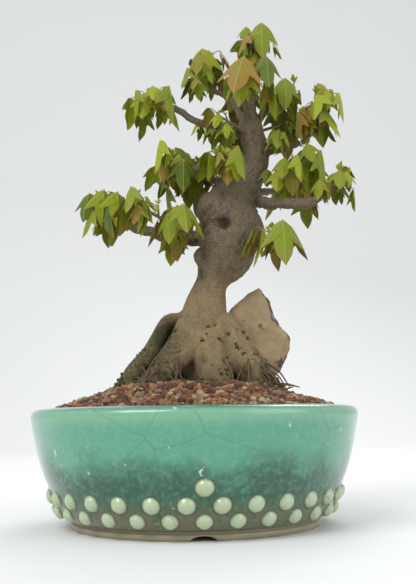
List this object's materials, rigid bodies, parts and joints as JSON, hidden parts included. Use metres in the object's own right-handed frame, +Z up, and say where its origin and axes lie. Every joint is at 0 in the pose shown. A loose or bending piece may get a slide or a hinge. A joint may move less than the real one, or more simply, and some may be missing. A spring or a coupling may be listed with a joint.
{
  "type": "potted bonsai tree",
  "caption": "Small bonsai tree with a swollen burred trunk and three-lobed leaves, its roots clasping a stone, in a round aqua-green glazed drum pot with bosses.",
  "frame": {"origin": "centre of the pot's foot ring at its flat underside, on the pot's axis", "axes": "+Z up along the pot's axis, -Y towards the front of the tree, +X to the right as seen from the front"},
  "size_m": [0.245, 0.245, 0.3899],
  "materials": {
    "glaze": "crackled glossy aqua-green glaze",
    "soil": "loose baked clay grains, matt",
    "stone": "rough tan rock, matt",
    "bark": "grey-brown bark, rough and matt",
    "leaf": "thin living leaves, satin"
  },
  "bodies": {
    "root": {"bough_back_left": "bark", "bough_back_low": "bark", "bough_back_right": "bark", "bough_back_upper": "bark", "bough_crown_front": "bark", "bough_leader": "bark", "bough_low_left": "bark", "bough_low_left_front": "bark", "bough_low_right": "bark", "bough_low_right_under": "bark", "bough_mid_left": "bark", "bough_right_top": "bark", "bough_top_left": "bark", "bough_upper_left": "bark", "bough_upper_right": "bark", "leaves_apex": "leaf", "leaves_back_left": "leaf", "leaves_back_low": "leaf", "leaves_back_right": "leaf", "leaves_back_top": "leaf", "leaves_back_upper": "leaf", "leaves_back_upper_left": "leaf", "leaves_back_upper_right": "leaf", "leaves_crown_front": "leaf", "leaves_front_centre": "leaf", "leaves_low_left_front": "leaf", "leaves_low_left_inner": "leaf", "leaves_low_left_tip": "leaf", "leaves_low_right_inner": "leaf", "leaves_low_right_tip": "leaf", "leaves_low_right_under": "leaf", "leaves_mid_left": "leaf", "leaves_mid_left_inner": "leaf", "leaves_right_top": "leaf", "leaves_right_under": "leaf", "leaves_top_left": "leaf", "leaves_upper_left": "leaf", "leaves_upper_left_inner": "leaf", "leaves_upper_right": "leaf", "pot": "glaze", "soil": "soil", "stone": "stone", "trunk": "bark"}
  },
  "joints": []
}
